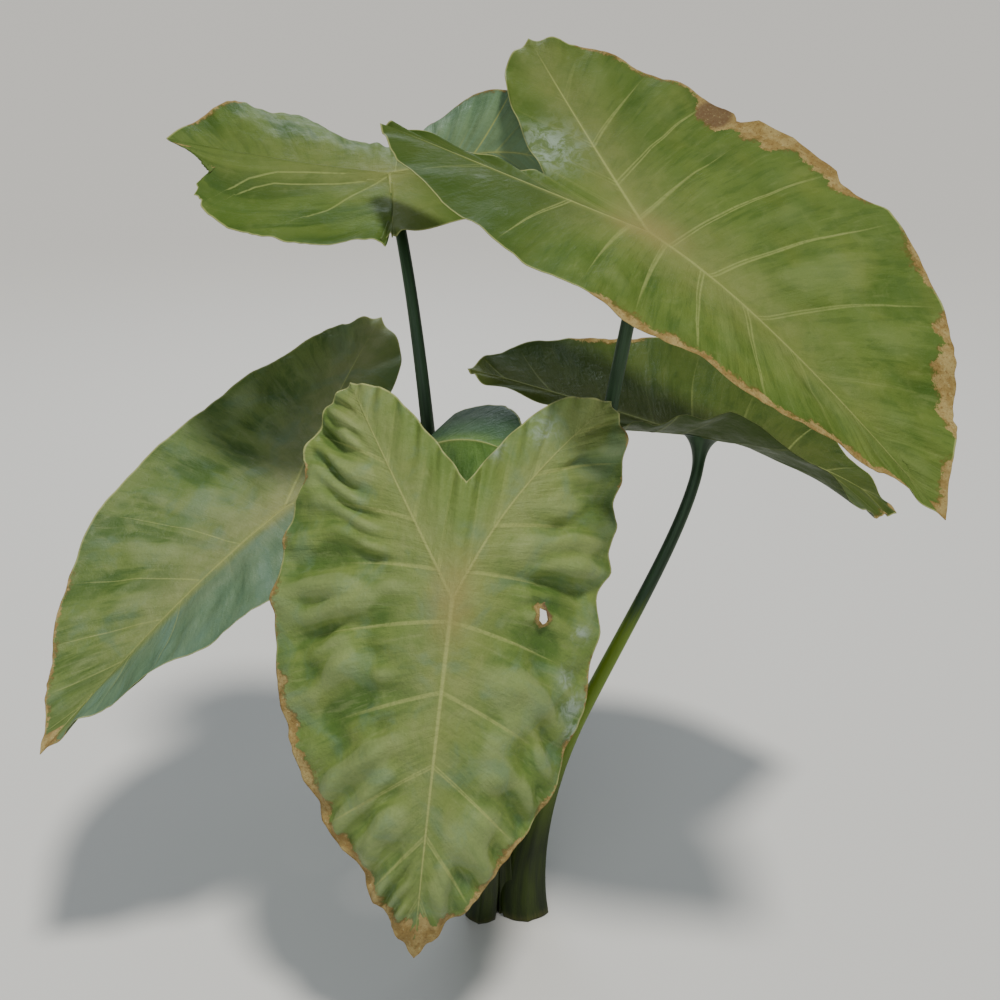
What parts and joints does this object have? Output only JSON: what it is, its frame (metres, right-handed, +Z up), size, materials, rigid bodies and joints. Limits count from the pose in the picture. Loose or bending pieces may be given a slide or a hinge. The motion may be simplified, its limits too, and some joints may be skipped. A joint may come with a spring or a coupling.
{
  "type": "elephant ear taro",
  "caption": "Taro plant cut at the base: heart-shaped peltate leaves on long stalks, their sheaths wrapped into one clump that stands on its cut ends.",
  "frame": {"origin": "middle of the clump's cut ends, on the surface it stands on", "axes": "+Z up, +X right and +Y away from the side that is seen first"},
  "size_m": [0.8356, 0.5609, 0.833],
  "materials": {
    "blade": "satin",
    "young_blade": "waxy satin",
    "stalk": "satin"
  },
  "bodies": {
    "root": {"upper_right_leaf_blade": "blade", "upper_left_leaf_blade": "blade", "left_leaf_blade": "blade", "front_leaf_blade": "blade", "right_leaf_blade": "blade", "young_leaf_blade": "young_blade", "upper_right_leaf_stalk": "stalk", "upper_left_leaf_stalk": "stalk", "left_leaf_stalk": "stalk", "front_leaf_stalk": "stalk", "right_leaf_stalk": "stalk", "young_leaf_stalk": "stalk"}
  },
  "joints": []
}
